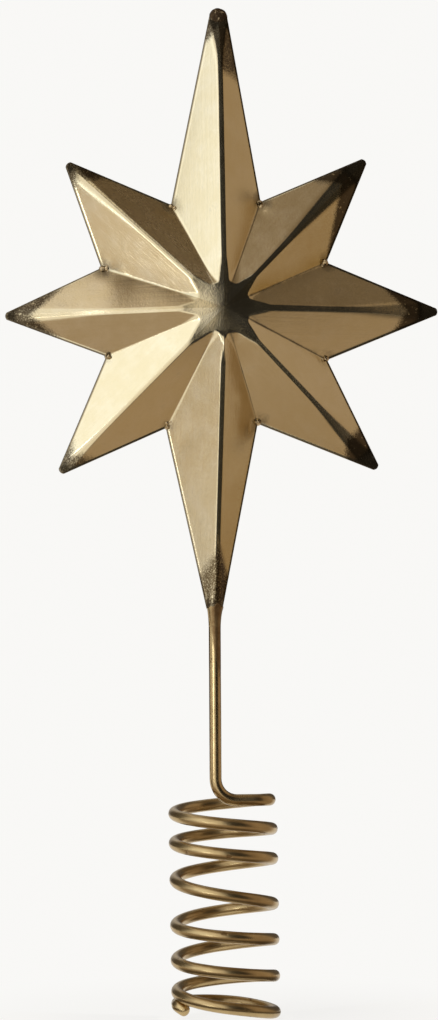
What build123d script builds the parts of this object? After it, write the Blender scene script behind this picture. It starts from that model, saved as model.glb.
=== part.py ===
from build123d import *
import math
import os

# A tree topper: an eight-pointed star of two pressed sheet shells, soldered rim to rim, on a wire stem
# whose lower end is wound into a coil that slips over the tree's leader.
# Millimetres, +Z up, and the star faces -Y. The origin is on the coil's axis at its open lower mouth.

os.makedirs("parts", exist_ok=True)

# Wire of the stem and the coil
WIRE_DIAMETER = 3.6
WIRE_FIT = 0.1

# Coil: six and a half turns, hand wound, so each half turn drops by its own share
COIL_RADIUS = 14.4
HALF_TURN_DROP = 5.25
HALF_TURN_DROP_SHARES = (0.79, 0.89, 0.78, 0.91, 1.17, 1.38, 1.17, 0.82, 1.14, 0.9, 0.86, 1.13)
COIL_LEAN = 0.7
LAST_TURN_TIP = 0.4
TAIL_RISE = 1.7
TAIL_DIP_SHARE = 0.15
TAIL_ANGLE = 11.0
# A quarter turn, counted in half turns
QUARTER_TURN = 0.5

# Lead and stem: the wire crosses the coil's mouth, then bends up and runs straight into the star
LEAD_TURN_RADIUS = 5.6
STEM_LEFT = 3.0
STEM_FORWARD = 4.0
STEM_BEND_RADIUS = 6.4
STEM_LENGTH = 50.3
STEM_INSET = 32.0

# Star outline, clockwise from the top ray; the hand-trimmed rays differ a little in reach and direction
RAY_COUNT = 8
TOP_RAY = 0
BOTTOM_RAY = 4
RAY_REACH = 64.4
TOP_REACH = 88.1
BOTTOM_REACH = 87.9
NOTCH_REACH = 36.0
TOP_TIP_WIDTH = 5.4
TIP_FORM_WIDTH = 0.3
RAY_REACH_SHARES = (1, 0.99, 1.03, 1.03, 1, 1.03, 0.97, 0.96)
RAY_TURNS = (0.6, -0.5, -0.5, -1, 0.75, -0.5, -1.5, -0.5)
NOTCH_REACH_SHARES = (0.99, 1.01, 1, 0.98, 1.05, 0.99, 1.02, 0.96)
NOTCH_TURNS = (-0.5, -2, 0.5, 2.5, 1.5, 0.5, -2, -0.5)

# Pressed shells: sheet, flat soldered lip, and the depth of one shell from the seam to its crown
SHEET = 0.5
LIP_WIDTH = 0.9
SHELL_DEPTH = 16.0
SLEEVE_LENGTH = 16.0
# Wall of the sloping faces along the press, as a share of the sheet
PRESS_WALL_SHARE = 1.2
# Sections of the pressed form as shares of the outline's size and of the form's height
FORM_SIZE_SHARES = (1, 0.16, 0.07)
FORM_HEIGHT_SHARES = (0, 0.945, 1)

# Solder
BRAZE_LENGTH = 5.3
BRAZE_EDGE = 0.15
BRAZE_WAIST_SHARE = 0.3
TACK_RADIUS = 1.3
TACK_THICKNESS = 1.5
TIP_BEAD_THICKNESS = 1.7
TIP_BEAD_FILLET_SHARE = 0.35

# Places that follow from the sizes
wire_radius = WIRE_DIAMETER / 2
channel_radius = wire_radius + WIRE_FIT
sleeve_radius = channel_radius + SHEET
tip_width = 2 * LIP_WIDTH + TIP_FORM_WIDTH
half_turn_length = math.pi * COIL_RADIUS
coil_top = wire_radius + HALF_TURN_DROP * sum(HALF_TURN_DROP_SHARES)
stem_x = -STEM_LEFT
stem_y = -STEM_FORWARD


def half_turn_heights():
    """Heights of the wire at each half turn, from the top right round to the tail at the left."""
    heights = [coil_top]
    for share in HALF_TURN_DROP_SHARES:
        heights.append(heights[-1] - HALF_TURN_DROP * share)
    heights.append(heights[-1] + TAIL_RISE)
    return heights


coil_heights = half_turn_heights()


def coil_height(half_turns):
    """Height of the wire at a number of half turns from the top; the lowest turn tips down at its front."""
    index = min(int(half_turns), len(coil_heights) - 2)
    share = half_turns - index
    tip = {len(coil_heights) - 3: -LAST_TURN_TIP, len(coil_heights) - 2: LAST_TURN_TIP}.get(index, 0)
    height = coil_heights[index] + (coil_heights[index + 1] - coil_heights[index]) * share
    return height + tip * math.sin(math.pi * share)


def coil_slope(half_turns):
    """Rise of the wire per millimetre of its run, or level where a fall turns into a rise."""
    before = coil_height(half_turns) - coil_height(max(half_turns - QUARTER_TURN, 0))
    after = coil_height(min(half_turns + QUARTER_TURN, len(coil_heights) - 1)) - coil_height(half_turns)
    if before * after <= 0 and half_turns > 0:
        return 0
    return (before + after) / half_turn_length


def coil_axis_x(height):
    """Where the leaning coil's axis passes at a height."""
    return COIL_LEAN * (coil_top / 2 - height) / coil_top


def coil_station(half_turns):
    """A point on the wire's middle line and the direction in which the wire runs there."""
    angle = math.pi * half_turns
    height = coil_height(half_turns)
    point = Vector(
        coil_axis_x(height) + COIL_RADIUS * math.cos(angle), COIL_RADIUS * math.sin(angle), height
    )
    run = Vector(-math.sin(angle), math.cos(angle), coil_slope(half_turns))
    return point, run.normalized()


def biarc(start, start_run, end, end_run):
    """Two arcs from start to end that keep both directions and share one tangent where they meet."""
    chord = end - start
    runs = start_run + end_run
    spread = 2 * (1 - start_run.dot(end_run))
    reach = chord.dot(runs)
    arm = (math.sqrt(reach**2 + spread * chord.dot(chord)) - reach) / spread
    middle = (start + end + (start_run - end_run) * arm) / 2
    first_chord = (middle - start).normalized()
    middle_run = first_chord * (2 * first_chord.dot(start_run)) - start_run
    TangentArc(start, middle, tangent=start_run)
    TangentArc(middle, end, tangent=middle_run)


# The lead leaves the stem along +X and turns into the coil on an arc that touches the coil from inside
lead_turn_y = stem_y + LEAD_TURN_RADIUS
lead_turn_x = math.sqrt((COIL_RADIUS - LEAD_TURN_RADIUS) ** 2 - lead_turn_y**2)
coil_join = math.atan2(lead_turn_y, lead_turn_x) / math.pi
lead_turn_length = LEAD_TURN_RADIUS * math.pi * (coil_join + QUARTER_TURN)
first_point, first_run = coil_station(coil_join)
lead_height = first_point.Z - coil_slope(coil_join) * lead_turn_length / 2
lead_end = Vector(lead_turn_x + coil_axis_x(first_point.Z), stem_y, lead_height)
lead_start = lead_end - Vector(WIRE_DIAMETER, 0, 0)

shell_bottom = lead_height + STEM_BEND_RADIUS + STEM_LENGTH
stem_top = shell_bottom + STEM_INSET

bottom_turn = math.radians(RAY_TURNS[BOTTOM_RAY])
star_x = stem_x + BOTTOM_REACH * math.sin(bottom_turn)
star_z = shell_bottom + BOTTOM_REACH * math.cos(bottom_turn)
seam_plane = Plane(origin=(star_x, stem_y, star_z), x_dir=(1, 0, 0), z_dir=(0, -1, 0))


def ray_direction(ray):
    """Direction of a ray on the seam plane, clockwise from the top, with its own small turn."""
    angle = math.radians(360 / RAY_COUNT * ray + RAY_TURNS[ray])
    return Vector(math.sin(angle), math.cos(angle))


def ray_size(ray):
    """Reach and blunt width of a ray's end."""
    if ray == TOP_RAY:
        return TOP_REACH, TOP_TIP_WIDTH
    if ray == BOTTOM_RAY:
        return BOTTOM_REACH, 2 * sleeve_radius
    return RAY_REACH * RAY_REACH_SHARES[ray], tip_width


def notch_point(ray):
    """Inner corner between a ray and the next one."""
    angle = math.radians(360 / RAY_COUNT * (ray + 1 / 2) + NOTCH_TURNS[ray])
    reach = NOTCH_REACH * NOTCH_REACH_SHARES[ray]
    return Vector(math.sin(angle), math.cos(angle)) * reach


def outline_points():
    """Corners of the star on the seam plane: a blunt end of two corners on each ray, then a notch."""
    points = []
    for ray in range(RAY_COUNT):
        along = ray_direction(ray)
        # The bottom ray is cut square to the stem, the others square to themselves
        across = Vector(-1, 0) if ray == BOTTOM_RAY else Vector(along.Y, -along.X)
        reach, width = ray_size(ray)
        points.append(along * reach - across * (width / 2))
        points.append(along * reach + across * (width / 2))
        points.append(notch_point(ray))
    return points


def inset_points(points, distance):
    """The clockwise outline with each side moved inwards by a distance."""
    corners = []
    for index, corner in enumerate(points):
        before = (corner - points[index - 1]).normalized()
        after = (points[(index + 1) % len(points)] - corner).normalized()
        inward = Vector(before.Y, -before.X) + Vector(after.Y, -after.X)
        corners.append(corner + inward * (2 * distance / inward.dot(inward)))
    return corners


star_outline = outline_points()
form_outline = inset_points(star_outline, LIP_WIDTH)

# Sections of the pressed form: size share and height above the form's own base
form_sections = [
    (size_share, (SHELL_DEPTH - SHEET) * height_share)
    for size_share, height_share in zip(FORM_SIZE_SHARES, FORM_HEIGHT_SHARES)
]

# Front shell: flat lip, pressed form, and a half sleeve pinched round the wire at the bottom ray
with BuildPart() as star_front_shell:
    with BuildSketch(seam_plane):
        Polygon(*star_outline, align=None)
    extrude(amount=SHEET)
    for size_share, height in form_sections:
        with BuildSketch(seam_plane.offset(SHEET + height)):
            Polygon(*[corner * size_share for corner in form_outline], align=None)
    loft(ruled=True)
    with BuildSketch(Plane((stem_x, stem_y, shell_bottom))):
        Circle(sleeve_radius)
    extrude(amount=SLEEVE_LENGTH)
    split(bisect_by=seam_plane, keep=Keep.TOP)
    for size_share, height in form_sections:
        with BuildSketch(seam_plane.offset(SHEET - SHEET * PRESS_WALL_SHARE + height)):
            Polygon(*[corner * size_share for corner in form_outline], align=None)
    loft(ruled=True, mode=Mode.SUBTRACT)
    with BuildSketch(Plane((stem_x, stem_y, shell_bottom))):
        Circle(channel_radius)
    extrude(amount=STEM_INSET + WIRE_DIAMETER, mode=Mode.SUBTRACT)
star_front_shell.part.label = "star_front_shell"
export_step(star_front_shell.part, "parts/star_front_shell.step")

# Back shell: the same pressing, turned to face the other way
with BuildPart() as star_back_shell:
    mirror(star_front_shell.part, about=seam_plane)
star_back_shell.part.label = "star_back_shell"
export_step(star_back_shell.part, "parts/star_back_shell.step")

# A dab of solder in the corner of each notch, across the seam, numbered clockwise from the top ray
for ray in range(RAY_COUNT):
    with BuildPart() as notch_solder:
        with BuildSketch(seam_plane):
            with Locations(notch_point(ray)):
                Circle(TACK_RADIUS)
            Polygon(*star_outline, align=None, mode=Mode.SUBTRACT)
        extrude(amount=TACK_THICKNESS / 2, both=True)
    notch_solder.part.label = f"notch_solder_{ray + 1}"
    export_step(notch_solder.part, f"parts/notch_solder_{ray + 1}.step")

# Round bead of solder that caps the blunt end of the top ray
with BuildPart() as top_tip_solder:
    with BuildSketch(seam_plane):
        with Locations(ray_direction(TOP_RAY) * TOP_REACH):
            Circle(TOP_TIP_WIDTH / 2)
        Polygon(*star_outline, align=None, mode=Mode.SUBTRACT)
    extrude(amount=TIP_BEAD_THICKNESS / 2, both=True)
    rims = top_tip_solder.edges().filter_by(GeomType.CIRCLE)
    fillet(rims, radius=TIP_BEAD_THICKNESS * TIP_BEAD_FILLET_SHARE)
top_tip_solder.part.label = "top_tip_solder"
export_step(top_tip_solder.part, "parts/top_tip_solder.step")

# Brazed collar that tapers from the pinched sleeve onto the wire
with BuildPart() as stem_braze:
    braze_plane = Plane((stem_x, stem_y, shell_bottom), x_dir=(1, 0, 0), z_dir=(0, -1, 0))
    with BuildSketch(braze_plane):
        with BuildLine():
            waist_radius = wire_radius + (sleeve_radius - wire_radius) * BRAZE_WAIST_SHARE
            upper_inner = (wire_radius, 0)
            upper_outer = (sleeve_radius, 0)
            waist = (waist_radius, -BRAZE_LENGTH / 2)
            lower_outer = (wire_radius + BRAZE_EDGE, -BRAZE_LENGTH)
            lower_inner = (wire_radius, -BRAZE_LENGTH)
            Line(upper_inner, upper_outer)
            ThreePointArc(upper_outer, waist, lower_outer)
            Polyline(lower_outer, lower_inner, upper_inner)
        make_face()
    revolve(axis=Axis((stem_x, stem_y, shell_bottom), (0, 0, 1)))
stem_braze.part.label = "stem_braze"
export_step(stem_braze.part, "parts/stem_braze.step")

# Stem: straight wire from inside the star down to the bend and out to the coil's lead
with BuildPart() as stem_wire:
    with BuildLine() as stem_path:
        bend_start = Vector(stem_x, stem_y, lead_height + STEM_BEND_RADIUS)
        bend_end = Vector(stem_x + STEM_BEND_RADIUS, stem_y, lead_height)
        Line((stem_x, stem_y, stem_top), bend_start)
        TangentArc(bend_start, bend_end, tangent=(0, 0, -1))
        Line(bend_end, lead_start)
    with BuildSketch(Plane(stem_path.line @ 0, z_dir=stem_path.line % 0)):
        Circle(wire_radius)
    sweep()
stem_wire.part.label = "stem_wire"
export_step(stem_wire.part, "parts/stem_wire.step")

# Coil: one unbroken wire of biarcs, a quarter turn each, with a straight end at the lead and at the tail
tail_half_turns = len(coil_heights) - 1
quarter_turns = [index * QUARTER_TURN for index in range(1, 2 * tail_half_turns + 1)]
with BuildPart() as coil_spring:
    with BuildLine() as coil_path:
        Line(lead_start, lead_end)
        biarc(lead_end, Vector(1, 0, 0), first_point, first_run)
        point, run = first_point, first_run
        for half_turns in quarter_turns:
            next_point, next_run = coil_station(half_turns)
            biarc(point, run, next_point, next_run)
            point, run = next_point, next_run
        tail_turn = math.radians(TAIL_ANGLE)
        tail_dip = TAIL_RISE * TAIL_DIP_SHARE
        tail_point = point + Vector(
            COIL_RADIUS * (1 - math.cos(tail_turn)), -COIL_RADIUS * math.sin(tail_turn), -tail_dip
        )
        tail_slope = 2 * tail_dip / (COIL_RADIUS * tail_turn)
        tail_run = Vector(math.sin(tail_turn), -math.cos(tail_turn), -tail_slope).normalized()
        biarc(point, run, tail_point, tail_run)
        Line(tail_point, tail_point + tail_run * WIRE_DIAMETER)
    with BuildSketch(Plane(coil_path.line @ 0, z_dir=coil_path.line % 0)):
        Circle(wire_radius)
    sweep()
coil_spring.part.label = "coil_spring"
export_step(coil_spring.part, "parts/coil_spring.step")


def least_self_gap(path, samples_per_edge=6):
    """Least clear distance between turns of a wire, on points along its middle line."""
    points = []
    run_length = 0
    for edge in path.edges():
        for index in range(samples_per_edge):
            share = index / samples_per_edge
            points.append((run_length + share * edge.length, edge @ share))
        run_length += edge.length
    gaps = [
        (one - other).length - WIRE_DIAMETER
        for place, one in points
        for other_place, other in points
        if other_place - place > half_turn_length / 2
    ]
    return min(gaps)


coil_gap = least_self_gap(coil_path.line)
coil_length = sum(edge.length for edge in coil_path.line.edges())
swept_share = coil_spring.part.volume / (math.pi * wire_radius**2 * coil_length)
arc_radii = [edge.radius for edge in coil_path.line.edges().filter_by(GeomType.CIRCLE)]
print("coil wire length", round(coil_length, 1), "least gap to itself", round(coil_gap, 2))
print("swept volume over section times length", round(swept_share, 4))
print("arc radii from", round(min(arc_radii), 2), "to", round(max(arc_radii), 2))
print("star centre at x", round(star_x, 2), "z", round(star_z, 2), "lead height", round(lead_height, 2))
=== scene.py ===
# %% [markdown]
# # A brass star for the top of a Christmas tree
# The star is two pressed brass sheets soldered rim to rim. One wire holds it: straight inside the bottom
# ray, bent over below it, and wound into a coil that slips over the tree's leader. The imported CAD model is
# the fixed frame, in metres, with +Z up and the star facing -Y. Everything here is built around it.

# %% Load the frame
import math

import bpy
import numpy as np
from mathutils import Matrix, Vector


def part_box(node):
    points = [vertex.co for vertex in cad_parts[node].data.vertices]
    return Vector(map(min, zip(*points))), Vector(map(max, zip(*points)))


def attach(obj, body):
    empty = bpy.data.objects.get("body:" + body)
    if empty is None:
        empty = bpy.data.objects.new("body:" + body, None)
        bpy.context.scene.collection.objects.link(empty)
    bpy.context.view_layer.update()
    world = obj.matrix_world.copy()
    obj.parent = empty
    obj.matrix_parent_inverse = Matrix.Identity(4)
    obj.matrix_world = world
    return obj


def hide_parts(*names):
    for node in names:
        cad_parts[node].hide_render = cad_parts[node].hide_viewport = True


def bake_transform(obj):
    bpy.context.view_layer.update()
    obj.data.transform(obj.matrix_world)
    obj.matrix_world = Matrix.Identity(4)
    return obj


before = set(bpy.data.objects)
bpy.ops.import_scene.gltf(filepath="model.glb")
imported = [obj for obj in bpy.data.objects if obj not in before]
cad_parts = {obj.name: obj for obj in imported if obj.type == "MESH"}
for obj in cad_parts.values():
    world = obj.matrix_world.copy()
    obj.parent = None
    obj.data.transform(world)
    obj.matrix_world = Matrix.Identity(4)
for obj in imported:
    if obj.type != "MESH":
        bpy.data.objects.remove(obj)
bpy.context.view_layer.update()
scene = bpy.context.scene
scene.view_settings.view_transform = "Standard"
MM = 0.001
# Middle line of the stem, which the wire, its collar and the star share
STEM_X, STEM_Y = -3 * MM, -4 * MM

# %% [markdown]
# ## Camera
# The photograph was taken from about a metre away, a little to the left and low, with a long lens. A camera
# could be aimed by eye. Here its place, turn and lens are the ones that lay the solids over the photograph,
# so that every later difference is one of shape or finish and not of viewpoint.

# %% Set up the camera
IMAGE_HEIGHT = 1020
FOCAL_PIXELS = 3305
SENSOR_HEIGHT = 36.0
CLIP_RANGE = (0.05, 50)
CAMERA_PLACE = Vector((-139.9, -972.7, 118.4)) * MM
YAW, PITCH, ROLL = (math.radians(angle) for angle in (8.13, 1.87, -0.33))

level_turn = Matrix.Rotation(-YAW, 4, "Z") @ Matrix.Rotation(math.pi / 2 + PITCH, 4, "X")

camera_data = bpy.data.cameras.new("camera")
camera_data.sensor_fit = "VERTICAL"
camera_data.sensor_height = SENSOR_HEIGHT
camera_data.lens = SENSOR_HEIGHT * FOCAL_PIXELS / IMAGE_HEIGHT
camera_data.clip_start, camera_data.clip_end = CLIP_RANGE
camera = bpy.data.objects.new("camera", camera_data)
camera.matrix_world = Matrix.Translation(CAMERA_PLACE) @ level_turn @ Matrix.Rotation(ROLL, 4, "Z")
scene.collection.objects.link(camera)
scene.camera = camera
print("camera", round(CAMERA_PLACE.length, 3), "m from the origin, lens", round(camera_data.lens, 1), "mm")

# %% [markdown]
# ## Nodes written as sums
# Both the shapes and the finishes below are node trees. Clicking nodes together one by one is slow to read
# in a script, so a small class wraps an output socket and turns Python's operators into Math nodes. Every
# other node comes from one method, which takes a node's type, its settings and what goes into its sockets.


# %% A socket that adds up
class Link:
    """An output socket of a node tree. Operators on it add Math nodes."""

    def __init__(self, tree, socket=None):
        self.tree = tree
        self.socket = socket

    def add(self, kind, settings=None, sockets=None, output=0):
        """Add any node: its settings first, then the values or links of its sockets."""
        node = self.tree.nodes.new(kind)
        for name, value in (settings or {}).items():
            if name == "stops":
                set_stops(node.color_ramp, value)
            else:
                setattr(node, name, value)
        for key, value in (sockets or {}).items():
            if isinstance(value, Link):
                self.tree.links.new(value.socket, node.inputs[key])
            else:
                node.inputs[key].default_value = value
        return Link(self.tree, node.outputs[output])

    def math(self, operation, *values):
        """A Math node on this tree."""
        return self.add("ShaderNodeMath", {"operation": operation}, dict(enumerate(values)))

    def vector_math(self, operation, *values, output=0):
        """A Vector Math node on this tree. Its output 1 is a number."""
        return self.add("ShaderNodeVectorMath", {"operation": operation}, dict(enumerate(values)), output)

    def axes(self):
        """The X of a vector, with Y and Z as the node's other outputs."""
        return self.add("ShaderNodeSeparateXYZ", {}, {0: self})

    def other(self, output):
        """Another output of the same node."""
        return Link(self.tree, self.socket.node.outputs[output])

    def clamped(self):
        """The value held between 0 and 1."""
        return self.add("ShaderNodeClamp", {}, {"Value": self})

    def rise(self, start, end):
        """A smooth step from 0 at start to 1 at end."""
        sockets = {"Value": self, "From Min": start, "From Max": end}
        return self.add("ShaderNodeMapRange", {"interpolation_type": "SMOOTHSTEP"}, sockets)

    def __add__(self, value):
        return self.math("ADD", self, value)

    def __radd__(self, value):
        return self.math("ADD", value, self)

    def __sub__(self, value):
        return self.math("SUBTRACT", self, value)

    def __rsub__(self, value):
        return self.math("SUBTRACT", value, self)

    def __mul__(self, value):
        return self.math("MULTIPLY", self, value)

    def __rmul__(self, value):
        return self.math("MULTIPLY", value, self)

    def __truediv__(self, value):
        return self.math("DIVIDE", self, value)

    def __rtruediv__(self, value):
        return self.math("DIVIDE", value, self)


def set_stops(ramp, stops):
    """Give a colour ramp its stops, as pairs of place and colour."""
    while len(ramp.elements) < len(stops):
        ramp.elements.new(1)
    for element, (place, colour) in zip(ramp.elements, stops):
        element.position = place
        element.color = colour


def colour_mix(factor, first, second):
    """Mix two colours by a link."""
    return factor.add("ShaderNodeMix", {"data_type": "RGBA"}, {0: factor, 6: first, 7: second}, 2)


print("sums ready in the class", Link.__name__)

# %% [markdown]
# ## Geometry trees
# A tree needs named inputs for its sizes, so that a learner can open it and turn a size by hand. The object
# that carries it is evaluated once and kept as a plain mesh, because the export drops such modifiers.


# %% Start, end and apply a geometry tree
def start_tree(name, sizes):
    """A geometry tree with named sizes, and the links of its inputs."""
    tree = bpy.data.node_groups.new(name, "GeometryNodeTree")
    tree.interface.new_socket("Geometry", in_out="INPUT", socket_type="NodeSocketGeometry")
    for size in sizes:
        tree.interface.new_socket(size, in_out="INPUT", socket_type="NodeSocketFloat")
    tree.interface.new_socket("Geometry", in_out="OUTPUT", socket_type="NodeSocketGeometry")
    inputs = tree.nodes.new("NodeGroupInput").outputs
    return tree, {socket.name: Link(tree, socket) for socket in inputs if socket.name}


def end_tree(geometry, material):
    """Realize what the tree made, give it its material and end the tree."""
    smooth = geometry.add("GeometryNodeSetShadeSmooth", {}, {"Geometry": geometry})
    real = smooth.add("GeometryNodeRealizeInstances", {}, {"Geometry": smooth})
    dressed = real.add("GeometryNodeSetMaterial", {}, {"Geometry": real, "Material": material})
    ending = dressed.tree.nodes.new("NodeGroupOutput")
    dressed.tree.links.new(dressed.socket, ending.inputs[0])


def apply_tree(name, carrier, tree, sizes):
    """Run a tree on a carrier object and keep the result as a plain mesh."""
    scene.collection.objects.link(carrier)
    modifier = carrier.modifiers.new(tree.name, "NODES")
    modifier.node_group = tree
    for item in tree.interface.items_tree:
        if item.in_out == "INPUT" and item.name in sizes:
            modifier[item.identifier] = float(sizes[item.name])
    depsgraph = bpy.context.evaluated_depsgraph_get()
    evaluated = carrier.evaluated_get(depsgraph)
    mesh = bpy.data.meshes.new_from_object(evaluated, preserve_all_data_layers=True, depsgraph=depsgraph)
    bpy.data.objects.remove(carrier)
    mesh.name = name
    piece = bpy.data.objects.new(name, mesh)
    scene.collection.objects.link(piece)
    print(name, len(mesh.vertices), "points and", len(mesh.polygons), "faces")
    return piece


def attribute(link, name, data_type="FLOAT"):
    """Read a named attribute inside a geometry tree."""
    return link.add("GeometryNodeInputNamedAttribute", {"data_type": data_type}, {"Name": name})


def store(geometry, name, value, data_type="FLOAT"):
    """Store a named attribute on the points of a geometry."""
    return geometry.add("GeometryNodeStoreNamedAttribute", {"data_type": data_type, "domain": "POINT"},
                        {"Geometry": geometry, "Name": name, "Value": value})


print("geometry trees ready")

# %% [markdown]
# ## Brass of the sheets
# The sheets are hand polished brass that has aged: brown in the tips and valleys, sandy where it was rubbed
# with grit, and brushed along its rays. A flat metal would mirror the studio and look new. So the colour,
# the roughness and a fine relief all change over the surface, guided by values that the mesh carries: how
# near a point is to a tip, the rim, the crown or a valley, and how far it lies along and across its ray.
# Some of the brown is painted shade: at the rim, beside a few valleys and up the bottom ray's right side.


# %% Start a material
def start_material(name):
    """A metal material, the place on its object as a link, and its shader node."""
    material = bpy.data.materials.new(name)
    material.use_nodes = True
    tree = material.node_tree
    shader = tree.nodes["Principled BSDF"]
    shader.inputs["Metallic"].default_value = 1
    return material, Link(tree).add("ShaderNodeTexCoord", {}, {}, 3), shader


def feed(shader, **links):
    """Link values to the shader's sockets."""
    for name, link in links.items():
        link.tree.links.new(link.socket, shader.inputs[name.replace("_", " ")])


def noise(vector, scale, detail=4, roughness=0.55):
    """Noise on a vector."""
    sockets = {"Vector": vector, "Scale": scale, "Detail": detail, "Roughness": roughness}
    return vector.add("ShaderNodeTexNoise", {}, sockets)


def stretch(vector, scale):
    """A vector stretched along its axes."""
    return vector.vector_math("MULTIPLY", vector, scale)


def surface_value(link, name, output=2):
    """A value that the mesh carries: output 2 is a number, 1 a vector."""
    return link.add("ShaderNodeAttribute", {"attribute_name": name}, {}, output)


def bump(height, distance):
    """A relief for the Normal socket."""
    return height.add("ShaderNodeBump", {}, {"Height": height, "Distance": distance, "Strength": 1})


print("material helpers ready")

# %% Brass sheet
BRASS = (0.72, 0.603, 0.378, 1)
PALE_BRASS = (0.785, 0.68, 0.475, 1)
OLIVE = (0.5, 0.35, 0.135, 1)
TARNISH_AND_SHADE = (0.04, 0.024, 0.012, 1)
GRIT_AND_SHADE_BROWN = (0.12, 0.077, 0.034, 1)
SHEET_RELIEF = 0.036 * MM
SHEET_MARKS = ("tip_tarnish", "crease", "rim", "sand", "grit", "olive", "off_crown", "smear")

sheet_brass, place, shader = start_material("sheet_brass")
tip, crease, rim, sand, grit, olive, off_crown, smear = (surface_value(place, mark) for mark in SHEET_MARKS)
brush = surface_value(place, "brush", 1)

cloud = noise(place, 55, 5)
patch = noise(place, 190, 6, 0.62)
grain = noise(place, 1500, 3, 0.6)
speck = noise(place, 2400, 2, 0.7)
strokes = (noise(stretch(brush, (60, 1900, 1)), 1, 4, 0.6) - 0.5) * off_crown + 0.5
cross_strokes = noise(stretch(place, (900, 120, 260)), 1, 3, 0.6)

worn = (patch * 0.6 + cloud * 0.55 + strokes * 0.25).rise(0.55, 0.95)
flecks = noise(place, 1100, 2, 0.6).rise(0.64, 0.72)
tip_dark = (tip * 1.8 + (speck - 0.5) * 2 + (patch - 0.5) * 0.9 - 0.4).clamped() * (1 - flecks * 0.7)
crease_dark = (crease * 1.5 + (patch - 0.5) * 1.8 + (speck - 0.5) * 0.6 - 0.3).clamped()
sand_dark = sand * speck.rise(0.44, 0.6)
# The rim's part of the dark is painted shade: a dark line along the seam where the two shells meet
dark = place.math("MAXIMUM", place.math("MAXIMUM", tip_dark, crease_dark * 0.85), rim * 0.8)
base = colour_mix(worn, BRASS, PALE_BRASS)
base = colour_mix((olive * (cloud * 1.2 + 0.3)).clamped(), base, OLIVE)
base = colour_mix(sand_dark * 0.6, base, TARNISH_AND_SHADE)
# Painted shade on the valley side of a few facets, broken up by the brush strokes
base = colour_mix((smear * (strokes * 1.4 + patch * 0.6 - 0.35)).clamped() * 0.8, base, GRIT_AND_SHADE_BROWN)
base = colour_mix(grit * (speck * 0.7 + grain * 0.3).rise(0.34, 0.54) * 0.92, base, GRIT_AND_SHADE_BROWN)
base = colour_mix(dark * 0.92, base, TARNISH_AND_SHADE)
roughness = 0.1 + patch * 0.1 + strokes * 0.06 + dark * 0.12 + sand * 0.14 + grit * 0.15
roughness = roughness * (0.65 + off_crown * 0.35)
grains = speck * ((sand + grit) * 3.2 + (1 - off_crown) * 1.2)
height = grain * 0.5 + strokes * 0.45 + cross_strokes * 0.2 + patch * 0.6 + grains
feed(shader, Base_Color=base, Roughness=roughness, Normal=bump(height, SHEET_RELIEF))
print("finish", sheet_brass.name)

# %% [markdown]
# ## Wire brass and solder
# The drawn wire is the same metal but browner, with fine lines along it and nicks where it was handled. Its
# stem is smoother than its coil, and a dark tongue runs down it from the collar. The solder is rough, dark
# and lumpy, with a few bright specks where it was touched.

# %% Wire and solder
WIRE_BRASS = (0.56, 0.41, 0.2, 1)
WIRE_DARK = (0.22, 0.13, 0.055, 1)
WIRE_RELIEF = 0.05 * MM
# Lengths along the wire, from its hidden end, between which the tongue and the smooth stem fade out
TONGUE_FADE = (36 * MM, 56 * MM)
SMOOTH_FADE = (85 * MM, 100 * MM)
TONGUE_REACH = 2.4 * MM
SOLDER_DARK = (0.07, 0.045, 0.024, 1)
SOLDER_BRIGHT = (0.7, 0.54, 0.32, 1)
SOLDER_RELIEF = 0.4 * MM

wire_brass, place, shader = start_material("wire_brass")
run = surface_value(place, "run", 1)
cloud = noise(place, 90, 5)
spots = noise(place, 420, 4, 0.65)
lines = noise(stretch(run, (140, 3, 1)), 1, 4)
nicks = noise(place, 360, 2, 0.5).rise(0.69, 0.74)
along = run.axes()
aside = place.axes() - STEM_X
neck = 1 - along.rise(*TONGUE_FADE)
tongue = (aside + neck * TONGUE_REACH).rise(TONGUE_REACH * 0.35, TONGUE_REACH * 0.65) * neck.rise(0, 0.3)
age = cloud * 0.9 + spots * 0.5 + lines * 0.1 + nicks * 0.5 + tongue * (0.35 + spots * 0.6) - 0.5
age = age.clamped()
base = colour_mix(age, WIRE_BRASS, WIRE_DARK)
roughness = (0.24 + age * 0.1 + spots * 0.06) * (0.72 + along.rise(*SMOOTH_FADE) * 0.28) + tongue * 0.25
relief = bump(spots * 0.25 + lines * 0.1 - nicks * 1.5, WIRE_RELIEF)
feed(shader, Base_Color=base, Roughness=roughness, Normal=relief)

solder_metal, place, shader = start_material("solder_metal")
lumps = noise(place, 900, 5, 0.65)
cloud = noise(place, 260, 4)
bright = (lumps + surface_value(place, "rubbed") * 0.16).rise(0.56, 0.68)
base = colour_mix(bright, SOLDER_DARK, SOLDER_BRIGHT)
feed(shader, Base_Color=base, Roughness=0.3 + cloud * 0.25, Normal=bump(lumps, SOLDER_RELIEF))
print("finishes", wire_brass.name, "and", solder_metal.name)

# %% [markdown]
# ## Outline of the star
# The star was cut by hand, so its rays differ a little in reach and direction and so do its notches. These
# are the same sizes as the solids have. The rays count clockwise from the top as seen from the front.

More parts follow.
